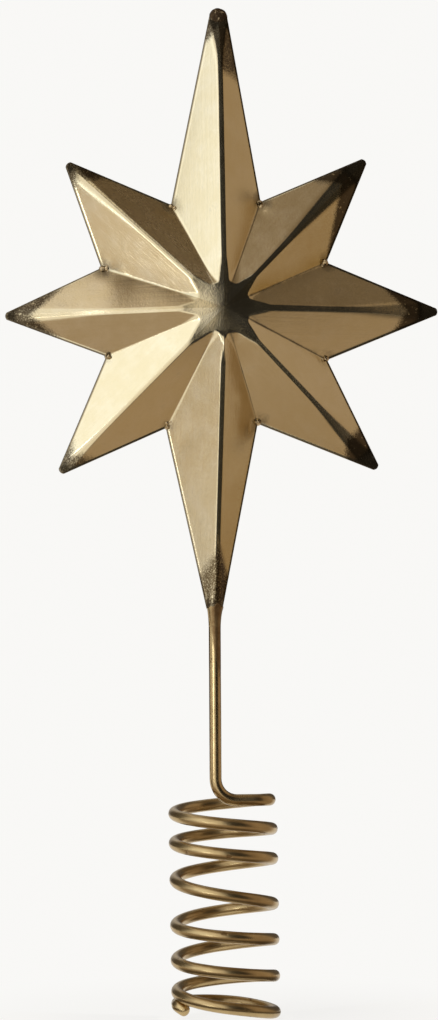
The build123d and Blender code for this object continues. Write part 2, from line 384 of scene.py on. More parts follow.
# %% Sizes of the star
WIRE_RADIUS = 1.8 * MM
SLEEVE_RADIUS = 2.4 * MM
SHELL_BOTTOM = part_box("stem_braze")[1].z
RAY_COUNT = 8
RAY_TURN = 360 / RAY_COUNT
BOTTOM_RAY = 4
RAY_REACH = 64.4 * MM
LONG_REACHES = {0: 88.1 * MM, BOTTOM_RAY: 87.9 * MM}
TIP_WIDTHS = {0: 5.4 * MM, BOTTOM_RAY: 2 * SLEEVE_RADIUS}
TIP_WIDTH = 2.1 * MM
NOTCH_REACH = 36 * MM
REACH_SHARES = (1, 0.99, 1.03, 1.03, 1, 1.03, 0.97, 0.96)
RAY_TURNS = (0.6, -0.5, -0.5, -1, 0.75, -0.5, -1.5, -0.5)
NOTCH_SHARES = (0.99, 1.01, 1, 0.98, 1.05, 0.99, 1.02, 0.96)
NOTCH_TURNS = (-0.5, -2, 0.5, 2.5, 1.5, 0.5, -2, -0.5)
LIP_WIDTH = 0.55 * MM
SHEET = 0.5 * MM

bottom_turn = math.radians(RAY_TURNS[BOTTOM_RAY])
STAR_X = STEM_X + LONG_REACHES[BOTTOM_RAY] * math.sin(bottom_turn)
STAR_Z = SHELL_BOTTOM + LONG_REACHES[BOTTOM_RAY] * math.cos(bottom_turn)
STAR_CENTRE = (STAR_X, STEM_Y, STAR_Z)


def clock(degrees):
    """Direction on the star's plane, clockwise from the top."""
    angle = math.radians(degrees)
    return np.array((math.sin(angle), math.cos(angle)))


ray_directions = np.array([clock(RAY_TURN * ray + turn) for ray, turn in enumerate(RAY_TURNS)])
ray_reaches = np.array([LONG_REACHES.get(ray, RAY_REACH * share) for ray, share in enumerate(REACH_SHARES)])
# Inner corners between a ray and the next one
notches = np.array([clock(RAY_TURN * (ray + 0.5) + turn) for ray, turn in enumerate(NOTCH_TURNS)])
notches = notches * NOTCH_REACH * np.array(NOTCH_SHARES)[:, None]


def outline_corners():
    """Corners of the star: the two of a ray's blunt end, then a notch, clockwise."""
    corners = []
    for ray, along in enumerate(ray_directions):
        across = np.array((-1, 0)) if ray == BOTTOM_RAY else np.array((along[1], -along[0]))
        half = across * TIP_WIDTHS.get(ray, TIP_WIDTH) / 2
        end = along * ray_reaches[ray]
        corners += [end - half, end + half, notches[ray]]
    return np.array(corners)


def inset_corners(corners, distance):
    """The clockwise outline with each side moved inwards."""
    before = corners - np.roll(corners, 1, axis=0)
    before /= np.linalg.norm(before, axis=1, keepdims=True)
    after = np.roll(before, -1, axis=0)
    inward = np.stack((before[:, 1] + after[:, 1], -before[:, 0] - after[:, 0]), axis=1)
    return corners + inward * 2 * distance / np.sum(inward**2, axis=1, keepdims=True)


outline = outline_corners()
form_outline = inset_corners(outline, LIP_WIDTH)
print("star centre", round(STAR_X, 4), round(STAR_Z, 4), "with", len(outline), "corners")

# %% [markdown]
# ## The flat sheet
# A press shop starts from a flat blank. So does this: a net of rings that follow the outline and shrink to
# the centre, with points closer together at the rim, the ridges and the valleys. It has a second layer
# under the first, joined at the rim, so the pressed shell is a closed wall. Each point carries the slopes
# of the facets next to it and the values that the finish reads.

# %% Net of the blank
LONG_SIDE_STEPS = 32
BLUNT_STEPS = 6
WIDE_BLUNT_STEPS = 14
RIM_STEPS = 6
OUTER_RINGS = 52
CROWN_RINGS = 42
INNER_RINGS = 18
# How strongly points crowd at a side's ends, and rings at the rim
SIDE_CROWDING = 0.55
RING_CROWDING = 0.25
# Rings turn from stars into circles between these shares of the outline
ROUND_START = 0.3
ROUND_END = 0.22
RIM_ROUND = 0.28 * MM
SEAM_ANGLE = math.radians(-50)
# Short rays end in a slight curve, less so inside the rim
TIP_BULGE = 0.4 * MM
INNER_BULGE = 0.3 * TIP_BULGE


def side_shares(steps, crowding):
    """Places along a side, from its first corner up to but not its last."""
    even = np.arange(steps) / steps
    return (1 - crowding) * even + crowding * (1 - np.cos(np.pi * even)) / 2


def net_columns():
    """For each column of the net: its side, its place on the side, its ray, the next ray and its facet."""
    columns = []
    for side in range(len(outline)):
        ray, part = divmod(side, 3)
        shares = side_shares(LONG_SIDE_STEPS, SIDE_CROWDING)
        if part == 0:
            shares = side_shares(WIDE_BLUNT_STEPS if ray in LONG_REACHES else BLUNT_STEPS, 0)
        after = (ray + 1) % RAY_COUNT
        own, neighbour = (after, ray) if part == 2 else (ray, after)
        for share in shares:
            right_facet = part != 2 if part else share > 0.5
            columns.append((side, share, own, neighbour, 2 * own + right_facet))
    return columns


column_side, column_share, column_ray, column_next, column_facet = map(np.array, zip(*net_columns()))
COLUMNS = len(column_side)


def ring_points(corners, bulge):
    """Points of one ring of the net."""
    runs = np.roll(corners, -1, axis=0) - corners
    points = corners[column_side] + runs[column_side] * column_share[:, None]
    blunt = (column_side % 3 == 0) & ~np.isin(column_ray, list(LONG_REACHES))
    reach = bulge * (1 - (2 * column_share - 1) ** 2) * blunt
    return points + ray_directions[column_ray] * reach[:, None]


def crown_rounding(points, size):
    """Near the centre the rings become circles, so that the crown's edge is finely divided."""
    share = np.clip((ROUND_START - size) / (ROUND_START - ROUND_END), 0, 1)
    share = share**2 * (3 - 2 * share)
    reach = np.linalg.norm(points, axis=1, keepdims=True)
    return points * (1 - share + share * NOTCH_REACH * size / reach)


def blank_rings():
    """Rings of the outer layer from the rim to the centre, each with its height and its share of rim."""
    rings = []
    for step in range(RIM_STEPS + 1):
        angle = SEAM_ANGLE + (math.pi / 2 - SEAM_ANGLE) * step / RIM_STEPS
        inset = RIM_ROUND * (1 - math.cos(angle))
        height = SHEET * (math.sin(angle) - math.sin(SEAM_ANGLE)) / (1 - math.sin(SEAM_ANGLE))
        rings.append((ring_points(inset_corners(outline, inset), TIP_BULGE), height, 1))
    for step in range(OUTER_RINGS):
        share = step / OUTER_RINGS
        size = 1 - (1 - ROUND_START) * ((1 - RING_CROWDING) * share + RING_CROWDING * share**2)
        rings.append((ring_points(form_outline * size, INNER_BULGE * size), SHEET, 0))
    for step in range(CROWN_RINGS):
        size = ROUND_START * (1 - step / CROWN_RINGS)
        rings.append((crown_rounding(ring_points(form_outline * size, 0), size), SHEET, 0))
    return rings


def under_rings():
    """Rings of the inner layer from near the rim to the centre."""
    return [ring_points(form_outline * (1 - step / INNER_RINGS), 0) for step in range(INNER_RINGS)]


print("net of", COLUMNS, "columns and", OUTER_RINGS + CROWN_RINGS + RIM_STEPS + INNER_RINGS, "rings")

# %% [markdown]
# ## Marks of hand and age, and some painted shade
# Each facet of the real star has its own marks: tips gone dark by different lengths, olive and sandy
# facets, a few dents, dark creases in some valleys and notches. One pattern of noise for all would look
# made by a machine. So the marks are short lists that give each facet, valley and dent its own amount.

# %% Lists of marks
# How far the tips have gone dark, in mm back from the end on the ridge, and more for each mm beside it. Two
# facets to a ray, clockwise from the top ray's left one
# The bottom ray's right facet, (19, -2.5), is dark far up the ray: painted shade of the sleeve's right side
TIP_TARNISH_AND_SHADE = ((3.6, 1.2), (17, 0.4), (10.5, 0.7), (11, 1.5), (9.5, 0.9), (9.5, 0.6), (12, 0), (13, -1),
               (19, -2.5), (3, 0), (7.5, 0.6), (5.5, 0.9), (7.4, 1.2), (7.4, 1.2), (4.5, 0.6), (7.5, 0.7))
TIP_FADE = 3.5 * MM
# How solid the dark of each ray's tip is, clockwise from the top
TIP_SOLID = (0.78, 1, 1, 1, 0.66, 0.66, 0.8, 0.85)
# How olive each facet is at the crown and at the tip, in the same order
OLIVE_SHARES = ((0, 0), (0.5, 0.55), (0.25, 0.25), (0.6, 0.75), (0.4, 0.3), (0.3, 0.3),
                (0.15, 0.35), (0.4, 0.45), (0.4, 0.95), (0.2, 0.15), (0.4, 0.35), (0, 0.05),
                (0.2, 0.2), (0.5, 0.05), (0.15, 0.1), (0.1, 0.6))
# How sandy each facet is, in the same order
SAND_SHARES = (0.03, 0.03, 0.06, 0.1, 0.18, 0.05, 0.05, 0.04, 0.05, 0.12, 0.05, 0.03, 0.05, 0.07, 0.03, 0.6)
CROWN_SAND = 0.1
# How dark the valleys and the notches are, clockwise from the one right of the top ray
VALLEY_DARK = (0.8, 0.8, 1, 0.25, 0, 0, 0, 0.1)
NOTCH_DARK = (0.9, 0.75, 0.6, 0.8, 0.45, 0.3, 0.85, 0.8)
# How far the press wrinkled the sheet in each valley, in the same order
VALLEY_WRINKLES = (0.1, 0.8, 0.15, 0.1, 0.05, 0.1, 0.25, 0.1)
# Dents: place right of and above the centre, radius and depth, in mm; a negative depth is a lump
DENTS = ((-8, -35, 3, 0.09), (-10.5, -38.5, 3, 0.12), (-13, -42, 2.5, 0.08), (-15, 30.5, 2.6, 0.4),
         (12.5, 30, 2.2, 0.15), (-33, 12.5, 2.4, 0.4), (9.5, -33.5, 2.2, 0.4), (29, -14, 1.8, -0.25),
         (-36, 7, 4, 0.2), (-30, -12.5, 3, 0.14), (5, -16, 4, 0.16), (6.5, -25.5, 2.5, -0.2),
         (33, 5, 4, 0.12), (-34, 5.5, 7, -0.6))
# Length of the flattened tip of each ray, clockwise from the top; the bottom ray has none
NO_FLAT = -1000
TIP_FLATS = [length * MM for length in (2.5, 6, 5, 5, NO_FLAT, 3, 3, 2.5)]
# Width of each ray's ridge as a share, near the crown and at the tip, in the same order
RIDGE_SHARES = ((0.9, 1), (0.72, 1.1), (0.95, 1), (0.62, 0.85),
                (0.85, 0.85), (0.6, 0.7), (0.75, 0.9), (0.75, 0.8))
# Painted shade with brush streaks, and olive, along the valley side of some facets, by facet, and the height
# they fade over
VALLEY_SHADE_SHARES = {4: 0.3, 13: 0.9, 14: 0.35}
VALLEY_OLIVES = {3: 0.45}
VALLEY_SHADE_DROP = 4.5 * MM
# Heights over a valley that its dark line and its wrinkles go up to, and the reach of a notch's dark
VALLEY_LINE = 0.5 * MM
VALLEY_NEAR = 2.5 * MM
NOTCH_NEAR = 4.5 * MM
# The crown's own finish ends between this distance from the centre and twice as far
CROWN_START = 5 * MM
# Height of the point where the facets of a ray would meet over the centre
APEX_HEIGHT = 17.7 * MM
LONG_APEX_HEIGHT = 16.95 * MM
# The bottom ray's end is pinched round the wire, and its ridge is sharp near the crown and flat further out
PINCH_FULL = 9 * MM
PINCH_START = 16 * MM
BAND_START = 12.6 * MM
BAND_FULL = 13.4 * MM
# Over this ridge the crown is lifted clear between two distances, so that it ends in a short tooth
CROWN_END = 7 * MM
CROWN_CLEAR = 10.5 * MM
CROWN_LIFT = 1.4 * MM
TOOTH_WIDE = 2.8 * MM
TOOTH_NARROW = 1.4 * MM
# Where the grit begins, in mm from the end on the ridge and less for each mm beside it, right and left
GRIT_EDGES = ((22, -3.2), (17, -1.5))
GRIT_LEAST = 5 * MM
GRIT_FADE = 1.5 * MM


def ramp(values, start, end):
    """0 at start and 1 at end, straight between."""
    return np.clip((values - start) / (end - start), 0, 1)


def dent_depth(points):
    """Depth of all dents together at each point."""
    depth = np.zeros(len(points))
    for right_by, up_by, radius, deep in DENTS:
        offset = points - np.array((right_by, up_by)) * MM
        depth += deep * MM * np.exp(-np.sum(offset**2, axis=1) / (radius * MM) ** 2)
    return depth


print("marks:", len(TIP_TARNISH_AND_SHADE), "facets and", len(DENTS), "dents")


# %% Values on the blank
def lift(points):
    """Points of the star's plane as points or directions in space."""
    space = np.zeros((len(points), 3))
    space[:, 0] = points[:, 0]
    space[:, 2] = points[:, 1]
    return space


def facet_falls():
    """Slope vectors of each ray's left and right facet and its blunt end; height is 1 - point . fall."""
    runs = np.roll(form_outline, -1, axis=0) - form_outline
    runs /= np.linalg.norm(runs, axis=1, keepdims=True)
    normals = np.stack((-runs[:, 1], runs[:, 0]), axis=1)
    return normals / np.sum(normals * form_outline, axis=1, keepdims=True)


def apex_heights(rays):
    """Height over the centre of the facets of each ray."""
    return np.where(np.isin(rays, list(LONG_REACHES)), LONG_APEX_HEIGHT, APEX_HEIGHT)


def slope_values(cells):
    """The slopes of the facets of each point's own ray and of the next one."""
    falls = facet_falls()
    own, neighbour = column_ray[cells], column_next[cells]
    return {"fall_left": falls[3 * own - 1], "fall_right": falls[3 * own + 1],
            "next_left": falls[3 * neighbour - 1], "next_right": falls[3 * neighbour + 1]}


def roof_heights(flat, left, right, apex):
    """Height of the lower of two facets."""
    return apex * (1 - np.maximum(np.sum(flat * left, axis=1), np.sum(flat * right, axis=1)))


def mark_values(flat, cells):
    """The values that the press and the finish read at each point."""
    own, facet = column_ray[cells], column_facet[cells]
    directions, reach = ray_directions[own], ray_reaches[own]
    sideways = np.stack((directions[:, 1], -directions[:, 0]), axis=1)
    along = np.sum(flat * directions, axis=1)
    across = np.sum(flat * sideways, axis=1)
    from_ridge = np.abs(across)
    from_end = reach - along
    out = np.linalg.norm(flat, axis=1)
    off_crown = ramp(out, CROWN_START, 2 * CROWN_START)
    outward = ramp(along, 2 * CROWN_START, reach - 2 * CROWN_START)
    is_bottom = own == BOTTOM_RAY

    valley = np.where(column_side % 3 == 2, (column_ray - 1) % RAY_COUNT, column_ray)[cells]
    slopes = slope_values(cells)
    apex, next_apex = apex_heights(own), apex_heights(column_next[cells])
    own_roof = roof_heights(flat, slopes["fall_left"], slopes["fall_right"], apex)
    next_roof = roof_heights(flat, slopes["next_left"], slopes["next_right"], next_apex)
    off_valley = np.abs(own_roof - next_roof)
    notch_near = ramp(np.linalg.norm(flat - notches[valley], axis=1), NOTCH_NEAR, 0)
    valley_dark = ramp(off_valley, VALLEY_LINE, 0) * off_crown * np.array(VALLEY_DARK)[valley]
    wrinkles = ramp(off_valley, VALLEY_NEAR, 0) ** 2 * off_crown * np.array(VALLEY_WRINKLES)[valley]
    valley_side = ramp(off_valley, VALLEY_SHADE_DROP, 0) * off_crown
    smear = valley_side * np.array([VALLEY_SHADE_SHARES.get(one, 0) for one in facet])
    valley_olive = valley_side * np.array([VALLEY_OLIVES.get(one, 0) for one in facet])

    back, widen = np.array(TIP_TARNISH_AND_SHADE)[facet].T
    tip_edge = back * MM + widen * from_ridge
    olive_in, olive_out = np.array(OLIVE_SHARES)[facet].T
    grit_back, grit_widen = np.array(GRIT_EDGES)[facet % 2].T
    grit_edge = np.maximum(grit_back * MM + grit_widen * from_ridge, GRIT_LEAST)
    grit = ramp(from_end, grit_edge + GRIT_FADE, grit_edge - GRIT_FADE)
    ridge_in, ridge_out = np.array(RIDGE_SHARES)[own].T
    ridge_share = ridge_in + (ridge_out - ridge_in) * outward
    ridge_slope = apex / 2 * np.sum((slopes["fall_right"] - slopes["fall_left"]) * sideways, axis=1)
    tooth = ramp(out, CROWN_END, CROWN_CLEAR) * ramp(from_ridge, TOOTH_WIDE, TOOTH_NARROW)
    return {
        "from_tip": from_end - np.array(TIP_FLATS)[own],
        "tip_tarnish": np.clip((tip_edge - from_end) / TIP_FADE + 0.5, 0, 1) * np.array(TIP_SOLID)[own],
        "olive": olive_in + (olive_out - olive_in) * outward + valley_olive,
        "smear": smear,
        "sand": np.maximum(np.array(SAND_SHARES)[facet] * off_crown, CROWN_SAND * (1 - off_crown)),
        "grit": grit * is_bottom,
        "pinch": ramp(from_end, PINCH_START, PINCH_FULL) * is_bottom,
        "crown_lift": tooth * CROWN_LIFT * is_bottom,
        "apex": apex,
        "next_apex": next_apex,
        "ridge_slope": ridge_slope * ridge_share * np.where(is_bottom, ramp(out, BAND_START, BAND_FULL), 1),
        "crease": np.maximum(notch_near * np.array(NOTCH_DARK)[valley], valley_dark),
        "wrinkled": np.maximum(notch_near, wrinkles),
        "off_crown": off_crown,
        "dent": dent_depth(flat),
    }, np.stack((along, across, own), axis=1)


print("slopes of the first ray's facets", np.round(1 / np.linalg.norm(facet_falls()[:2], axis=1) / MM, 1))


# %% Build the blank
def ring_faces(rings, first, count, turned):
    """Quads between rings that follow each other in the list of points."""
    faces = []
    for ring in range(rings - 1):
        for column in range(count):
            near = first + ring * count + column
            near_after = first + ring * count + (column + 1) % count
            quad = (near, near_after, near_after + count, near + count)
            faces.append(quad[::-1] if turned else quad)
    return faces


# The blank's pole lies a hair up the first ray, whose slopes it carries
POLE_OFFSET = 0.01 * MM


def build_blank(name):
    """The flat blank as a mesh object, with its attributes."""
    upper, under = blank_rings(), under_rings()
    pole = ray_directions[:1] * POLE_OFFSET
    flat = np.concatenate([ring[0] for ring in upper] + [pole] + under + [pole])
    upper_pole = len(upper) * COLUMNS
    under_start = upper_pole + 1
    under_pole = len(flat) - 1
    faces = ring_faces(len(upper), 0, COLUMNS, False) + ring_faces(len(under), under_start, COLUMNS, True)
    for column in range(COLUMNS):
        after = (column + 1) % COLUMNS
        faces.append((upper_pole - COLUMNS + column, upper_pole - COLUMNS + after, upper_pole))
        faces.append((under_pole - COLUMNS + after, under_pole - COLUMNS + column, under_pole))
        faces.append((column, under_start + column, under_start + after, after))

    mesh = bpy.data.meshes.new(name)
    mesh.from_pydata((lift(flat) + STAR_CENTRE).tolist(), [], faces)
    upper_cells, under_cells = (np.tile(np.arange(COLUMNS), len(rings)) for rings in (upper, under))
    cells = np.concatenate((upper_cells, [0], under_cells, [0]))
    marks, brush = mark_values(flat, cells)
    below = np.zeros(len(under_cells) + 1)
    marks["lip"] = np.concatenate((np.repeat([ring[1] for ring in upper], COLUMNS), [SHEET], below))
    marks["rim"] = np.concatenate((np.repeat([ring[2] for ring in upper], COLUMNS), [0], below))
    marks["layer"] = np.concatenate((np.zeros(under_start), below + 1))
    vectors = {key: lift(values) for key, values in slope_values(cells).items()}
    vectors["brush"] = brush
    for kind, field, group in (("FLOAT", "value", marks), ("FLOAT_VECTOR", "vector", vectors)):
        for key, values in group.items():
            mesh.attributes.new(key, kind, "POINT").data.foreach_set(field, values.astype(float).ravel())
    return bpy.data.objects.new(name, mesh)


print("blank of", COLUMNS, "columns")

# %% [markdown]
# ## Pressing the star
# The press follows a rule: each facet is a plane from the crown down to its side of the outline, a ray is
# the lower of its two planes and the star is the higher of neighbouring rays. Smooth minimum and maximum
# give the soft ridges and the crisper valleys of hand pressed sheet. Modelling facets by hand would give
# dead flat planes, so a slow noise adds the small dents that make the reflections wander.

# %% Tree of the press
PRESS_SIZES = {
    "Crown Height": 15.2 * MM,
    "Crown Drop": 1.5 * MM,
    "Crown Reach": 6.3 * MM,
    "Crown Round": 0.16 * MM,
    "Fill Height": 19.35 * MM,
    "Fill Slope": 0.65,
    "Fill Round": 0.9 * MM,
    "Ridge Half Width": 0.86 * MM,
    "Ridge Round": 0.13 * MM,
    "Bow": 0.25 * MM,
    "Tip Slope": 0.33,
    "Tip Round": 0.9 * MM,
    "Valley Round": 0.35 * MM,
    "Valley Scoop": 2 * MM,
    "Foot Round": 0.3 * MM,
    "Wall": 0.6 * MM,
    "Dent": 0.1 * MM,
    "Wrinkle": 0.4 * MM,
    "Side": 1,
    "Seed": 0,
}
# The valleys are scooped out near the crown, less and less between these distances
SCOOP_FADE = (6 * MM, 13 * MM)
# The sleeve runs out into the bottom ray between these heights
SLEEVE_FADE = (SHELL_BOTTOM + 11 * MM, SHELL_BOTTOM + 16 * MM)
SLEEVE_ROUND = 0.4 * MM
# Where the bottom ray is pinched, the rounding of its ridge grows by this many times its size
PINCH_ROUND = 9
# Dents and wrinkles have their full depth where the form is at least this high
DENT_RISE = 2 * MM
WALL_SPARE = 0.2 * MM
# Steep enough to hold down no more of the lip than its lowest ring, on the seam
LIP_SLOPE = 1000


def press_tree(material):
    """The tree that presses a flat blank into a faceted shell."""
    tree, size = start_tree("press_star", PRESS_SIZES)
    start = Link(tree)
    position = start.add("GeometryNodeInputPosition")
    from_centre = start.vector_math("SUBTRACT", position, STAR_CENTRE)
    out = start.vector_math("LENGTH", from_centre, output=1)
    lip, layer = attribute(start, "lip"), attribute(start, "layer")
    flat_depth = size["Ridge Half Width"] * attribute(start, "ridge_slope")
    rounding = size["Ridge Round"] * (1 + attribute(start, "pinch") * PINCH_ROUND)

    def facet(name, apex):
        fall = attribute(start, name, "FLOAT_VECTOR")
        fallen = start.vector_math("DOT_PRODUCT", from_centre, fall, output=1)
        return (1 - fallen) * apex + fallen * (1 - fallen) * 4 * size["Bow"]

    def roof(left_name, right_name, apex_name):
        apex = attribute(start, apex_name)
        left, right = facet(left_name, apex), facet(right_name, apex)
        ridge = (left + right) * 0.5 - flat_depth
        return start.math("SMOOTH_MIN", start.math("MINIMUM", left, right), ridge, rounding)

    runout = attribute(start, "from_tip") * size["Tip Slope"]
    own = start.math("SMOOTH_MIN", roof("fall_left", "fall_right", "apex"), runout, size["Tip Round"])
    scoop = size["Valley Round"] + size["Valley Scoop"] * (1 - out.rise(*SCOOP_FADE))
    form = start.math("SMOOTH_MAX", own, roof("next_left", "next_right", "next_apex"), scoop)
    fill = size["Fill Height"] - out * size["Fill Slope"]
    form = start.math("SMOOTH_MAX", form, fill, size["Fill Round"])
    spread = out / size["Crown Reach"]
    crown_left = start.math("EXPONENT", spread * spread * -0.5)
    crown = size["Crown Height"] - size["Crown Drop"] * (1 - crown_left) + attribute(start, "crown_lift")
    form = start.math("SMOOTH_MIN", form, crown, size["Crown Round"])
    form = start.math("SMOOTH_MAX", form, 0, size["Foot Round"])

    spot = start.vector_math("ADD", position, start.add("ShaderNodeCombineXYZ", {}, {"X": size["Seed"]}))
    dents = (noise(spot, 60, 1.5, 0.45) - 0.5) * size["Dent"] * 2
    wrinkles = (noise(spot, 520, 3, 0.6) - 0.5) * attribute(start, "wrinkled") * size["Wrinkle"] * 2
    form = form + (dents + wrinkles - attribute(start, "dent")) * (form / DENT_RISE).clamped()

    axes = position.axes()
    aside = axes - STEM_X
    sleeve = start.math("SQRT", start.math("MAXIMUM", SLEEVE_RADIUS**2 - aside * aside, 0))
    sleeve = sleeve * (1 - axes.other(2).rise(*SLEEVE_FADE))
    outer = start.math("SMOOTH_MAX", form + lip, sleeve * lip / SHEET, SLEEVE_ROUND * lip / SHEET)
    outer = start.math("MINIMUM", outer, lip * LIP_SLOPE)
    inner = start.math("MAXIMUM", form + SHEET - size["Wall"] - WALL_SPARE, 0)
    inner = start.math("MAXIMUM", inner, start.math("MAXIMUM", sleeve - SHEET, 0))
    height = outer * (1 - layer) + inner * layer
    offset = start.add("ShaderNodeCombineXYZ", {}, {"Y": 0 - height * size["Side"]})
    pressed = start.add("GeometryNodeSetPosition", {}, {"Geometry": size["Geometry"], "Offset": offset})
    end_tree(pressed, material)
    return tree


star_tree = press_tree(sheet_brass)
print("press tree with", len(star_tree.nodes), "nodes")


# %% Press the two shells
def press_shell(name, node, side, seed):
    """Press one shell, facing the front with side 1 or the back with side -1."""
    blank = build_blank(name + "_blank")
    if side < 0:
        blank.data.flip_normals()
    shell = apply_tree(name, blank, star_tree, {**PRESS_SIZES, "Side": side, "Seed": seed})
    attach(shell, "star")
    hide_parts(node)


press_shell("front_shell", "star_front_shell", 1, 0)
press_shell("back_shell", "star_back_shell", -1, 3)

# %% [markdown]
# ## The wire
# Stem, lead, coil and tail are one bent wire, so here they are one piece although the solids have two. The
# middle line goes through a point and a direction every quarter turn, and a Bezier curve keeps both. Curve
# to Mesh then runs a round section along it.

# %% Stations along the wire
COIL_RADIUS = 14.4 * MM
HALF_TURN_DROP = 5.25 * MM
DROP_SHARES = (0.79, 0.89, 0.78, 0.91, 1.17, 1.38, 1.17, 0.82, 1.14, 0.9, 0.86, 1.13)
COIL_LEAN = 0.7 * MM
LAST_TURN_TIP = 0.4 * MM
TAIL_RISE = 2.6 * MM
# The tail hooks down: places from the end of the last turn in mm, and its direction there
TAIL_STATIONS = (((-0.3, -2.2, -0.1), (-0.02, -0.995, -0.1)), ((0.1, -3.7, -0.5), (0.495, -0.815, -0.373)),
                 ((1.4, -4.7, -1.35), (0.833, -0.258, -0.516)),
                 ((2.6, -5.05, -2.1), (0.833, -0.258, -0.516)))
LEAD_TURN_RADIUS = 5.6 * MM
STEM_BEND_RADIUS = 6.4 * MM
STEM_INSET = 32 * MM
QUARTER_TURN = 0.5

coil_top = WIRE_RADIUS + HALF_TURN_DROP * sum(DROP_SHARES)
coil_heights = list(coil_top - HALF_TURN_DROP * np.cumsum((0,) + DROP_SHARES))
coil_heights.append(coil_heights[-1] + TAIL_RISE)
LAST = len(coil_heights) - 1


def coil_height(turns):
    """Height of the wire, counted in half turns from the top."""
    index = min(int(turns), LAST - 1)
    share = turns - index
    tip = {LAST - 2: -LAST_TURN_TIP, LAST - 1: LAST_TURN_TIP}.get(index, 0)
    height = coil_heights[index] + (coil_heights[index + 1] - coil_heights[index]) * share
    return height + tip * math.sin(math.pi * share)


def coil_slope(turns):
    """Rise of the wire for its run, level where a fall turns into a rise."""
    before = coil_height(turns) - coil_height(max(turns - QUARTER_TURN, 0))
    after = coil_height(min(turns + QUARTER_TURN, LAST)) - coil_height(turns)
    return 0 if before * after <= 0 and turns > 0 else (before + after) / (math.pi * COIL_RADIUS)


def coil_station(turns):
    """A point on the wire's middle line and its direction there."""
    angle = math.pi * turns
    height = coil_height(turns)
    axis_x = COIL_LEAN * (coil_top / 2 - height) / coil_top
    point = Vector((axis_x + COIL_RADIUS * math.cos(angle), COIL_RADIUS * math.sin(angle), height))
    return point, Vector((-math.sin(angle), math.cos(angle), coil_slope(turns))).normalized()


def wire_stations():
    """Stations from the hidden end in the star down to the tail."""
    turn_y = STEM_Y + LEAD_TURN_RADIUS
    turn_x = math.sqrt((COIL_RADIUS - LEAD_TURN_RADIUS) ** 2 - turn_y**2)
    join = math.atan2(turn_y, turn_x) / math.pi
    first, _ = coil_station(join)
    lead_z = first.z - coil_slope(join) * LEAD_TURN_RADIUS * math.pi * (join + QUARTER_TURN) / 2
    axis_x = COIL_LEAN * (coil_top / 2 - first.z) / coil_top
    down, over = Vector((0, 0, -1)), Vector((1, 0, 0))
    stations = [(Vector((STEM_X, STEM_Y, SHELL_BOTTOM + STEM_INSET)), down),
                (Vector((STEM_X, STEM_Y, SHELL_BOTTOM)), down),
                (Vector((STEM_X, STEM_Y, lead_z + STEM_BEND_RADIUS)), down),
                (Vector((STEM_X + STEM_BEND_RADIUS, STEM_Y, lead_z)), over),
                (Vector((turn_x + axis_x, STEM_Y, lead_z)), over),
                coil_station(join)]
    stations += [coil_station(index * QUARTER_TURN) for index in range(1, 2 * LAST + 1)]
    point, _ = stations[-1]
    for offset, run in TAIL_STATIONS:
        stations.append((point + Vector(offset) * MM, Vector(run).normalized()))
    return stations


stations = wire_stations()
print("wire through", len(stations), "stations")

# %% Curve through the stations
CURVE_STEPS = 18
# Spans that turn by less than this angle are straight
STRAIGHT = 0.01


def arm_length(start, start_run, end, end_run):
    """Handle length that makes a Bezier span follow an arc."""
    chord = (end - start).length
    angle = start_run.angle(end_run)
    if angle < STRAIGHT:
        return chord / 3
    return 4 / 3 * math.tan(angle / 4) * chord / (2 * math.sin(angle / 2))


def wire_curve():
    """The wire's middle line as a Bezier curve object."""
    curve = bpy.data.curves.new("wire_line", "CURVE")
    curve.dimensions = "3D"
    curve.resolution_u = CURVE_STEPS
    spline = curve.splines.new("BEZIER")
    spline.bezier_points.add(len(stations) - 1)
    spline.resolution_u = CURVE_STEPS
    arms = [arm_length(*one, *other) for one, other in zip(stations, stations[1:])]
    for index, (point, run) in enumerate(stations):
        handle = spline.bezier_points[index]
        handle.handle_left_type = handle.handle_right_type = "FREE"
        handle.co = point
        handle.handle_left = point - run * arms[max(index - 1, 0)]
        handle.handle_right = point + run * arms[min(index, len(arms) - 1)]
    return bpy.data.objects.new("wire_line", curve)


WIRE_SIZES = {"Radius": WIRE_RADIUS, "Sides": 20, "Uneven": 0.05 * MM, "End Round": 1.5 * MM}
# What is left of the section's area at the rounded end
END_FLAT = 0.003


def wire_tree(material):
    """The tree that runs a round, slightly uneven section along the line."""
    tree, size = start_tree("wire_section", WIRE_SIZES)
    start = Link(tree)
    position = start.add("GeometryNodeInputPosition")
    length = start.add("GeometryNodeSplineParameter").other("Length")
    whole = start.add("GeometryNodeSplineLength")
    uneven = (noise(position, 130, 2, 0.5) - 0.5) * 2 * size["Uneven"]
    from_round = 1 - ((whole - length) / size["End Round"]).clamped()
    rounding = start.math("SQRT", END_FLAT + (1 - END_FLAT) * (1 - from_round * from_round))
    radius = (size["Radius"] + uneven) * rounding
    line = start.add("GeometryNodeResampleCurve", {"mode": "EVALUATED"}, {"Curve": size["Geometry"]})
    line = store(line, "run_length", length)
    line = start.add("GeometryNodeSetCurveRadius", {}, {"Curve": line, "Radius": radius})
    ring = start.add("GeometryNodeCurvePrimitiveCircle", {}, {"Resolution": size["Sides"], "Radius": 1.0})
    ring = store(ring, "round", start.add("GeometryNodeSplineParameter"))
    scale = start.add("GeometryNodeInputRadius")
    tube = start.add("GeometryNodeCurveToMesh", {}, {
        "Curve": line, "Profile Curve": ring, "Scale": scale, "Fill Caps": True})
    run = start.add("ShaderNodeCombineXYZ", {}, {
        "X": attribute(start, "run_length"), "Y": attribute(start, "round")})
    end_tree(store(tube, "run", run, "FLOAT_VECTOR"), material)
    return tree


wire = apply_tree("stem_and_coil", wire_curve(), wire_tree(wire_brass), WIRE_SIZES)
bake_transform(wire)
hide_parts("stem_wire", "coil_spring")

